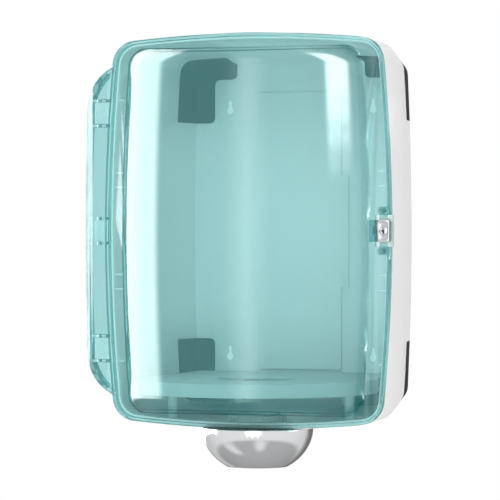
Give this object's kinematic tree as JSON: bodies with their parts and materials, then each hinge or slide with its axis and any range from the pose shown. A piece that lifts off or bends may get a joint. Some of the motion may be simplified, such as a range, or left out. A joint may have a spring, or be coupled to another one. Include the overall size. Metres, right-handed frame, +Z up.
{
  "type": "wall-mounted centre-feed roll dispenser",
  "caption": "Wall-mounted dispenser for a centre-feed wiper roll: tapered housing, bowed see-through cover hinged at the left with a push lock, and a round nozzle bowl underneath.",
  "frame": {"origin": "middle of the back plate, on the wall's surface", "axes": "+X to the right seen from the front, +Y into the wall, +Z up; the cover faces -Y"},
  "size_m": [0.331, 0.3019, 0.4443],
  "materials": {
    "white_housing": "satin moulded ABS",
    "tinted_cover": "polished see-through tinted plastic",
    "clear_plastic": "clear moulded plastic",
    "smoke_plastic": "polished light grey plastic",
    "grey_plastic": "satin light grey plastic",
    "dark_plastic": "satin acetal",
    "black_rubber": "matt moulded rubber",
    "steel": "zinc-plated steel",
    "chrome": "polished chrome plate"
  },
  "bodies": {
    "housing": {"rear_housing": "white_housing", "corner_pad_top_left": "black_rubber", "corner_pad_top_right": "black_rubber", "corner_pad_bottom_left": "black_rubber", "corner_pad_bottom_right": "black_rubber", "roll_shelf": "grey_plastic", "shelf_screws": "steel", "nozzle_collar": "grey_plastic", "nozzle_nut": "grey_plastic", "nozzle_bowl": "smoke_plastic", "outlet_insert": "dark_plastic", "strike_plate": "steel", "strike_screws": "steel"},
    "cover": {"front_cover": "tinted_cover", "hinge_pin_top": "steel", "hinge_pin_middle": "steel", "hinge_pin_bottom": "steel", "lock_frame": "clear_plastic", "lock_case": "tinted_cover", "case_screws": "steel", "latch_pin": "steel", "button_springs": "steel"},
    "latch": {"latch_hook": "dark_plastic"},
    "button": {"lock_button": "chrome"},
    "core": {"lock_core": "steel"}
  },
  "joints": [
    {"name": "cover_hinge", "type": "hinge", "parent": "housing", "child": "cover", "pos_m": [-0.1645, -0.18, 0], "axis": [0, 0, -1], "range_deg": [0, 110]},
    {"name": "button_push", "type": "slide", "parent": "cover", "child": "button", "axis": [0, 1, 0], "range_m": [0, 0.003], "stiffness_N_per_m": 1500, "springref_m": -0.002, "deforming": ["button_springs"]},
    {"name": "core_turn", "type": "hinge", "parent": "button", "child": "core", "pos_m": [0.1453, -0.195, 0], "axis": [0, 1, 0], "range_deg": [0, 90]},
    {"name": "latch_turn", "type": "hinge", "parent": "cover", "child": "latch", "pos_m": [0.1333, -0.186, 0], "axis": [0, 0, 1], "range_deg": [0, 19.5]}
  ],
  "couplings": [
    {"joint": "latch_turn", "follows": "button_push", "rad_per_m": 113}
  ]
}
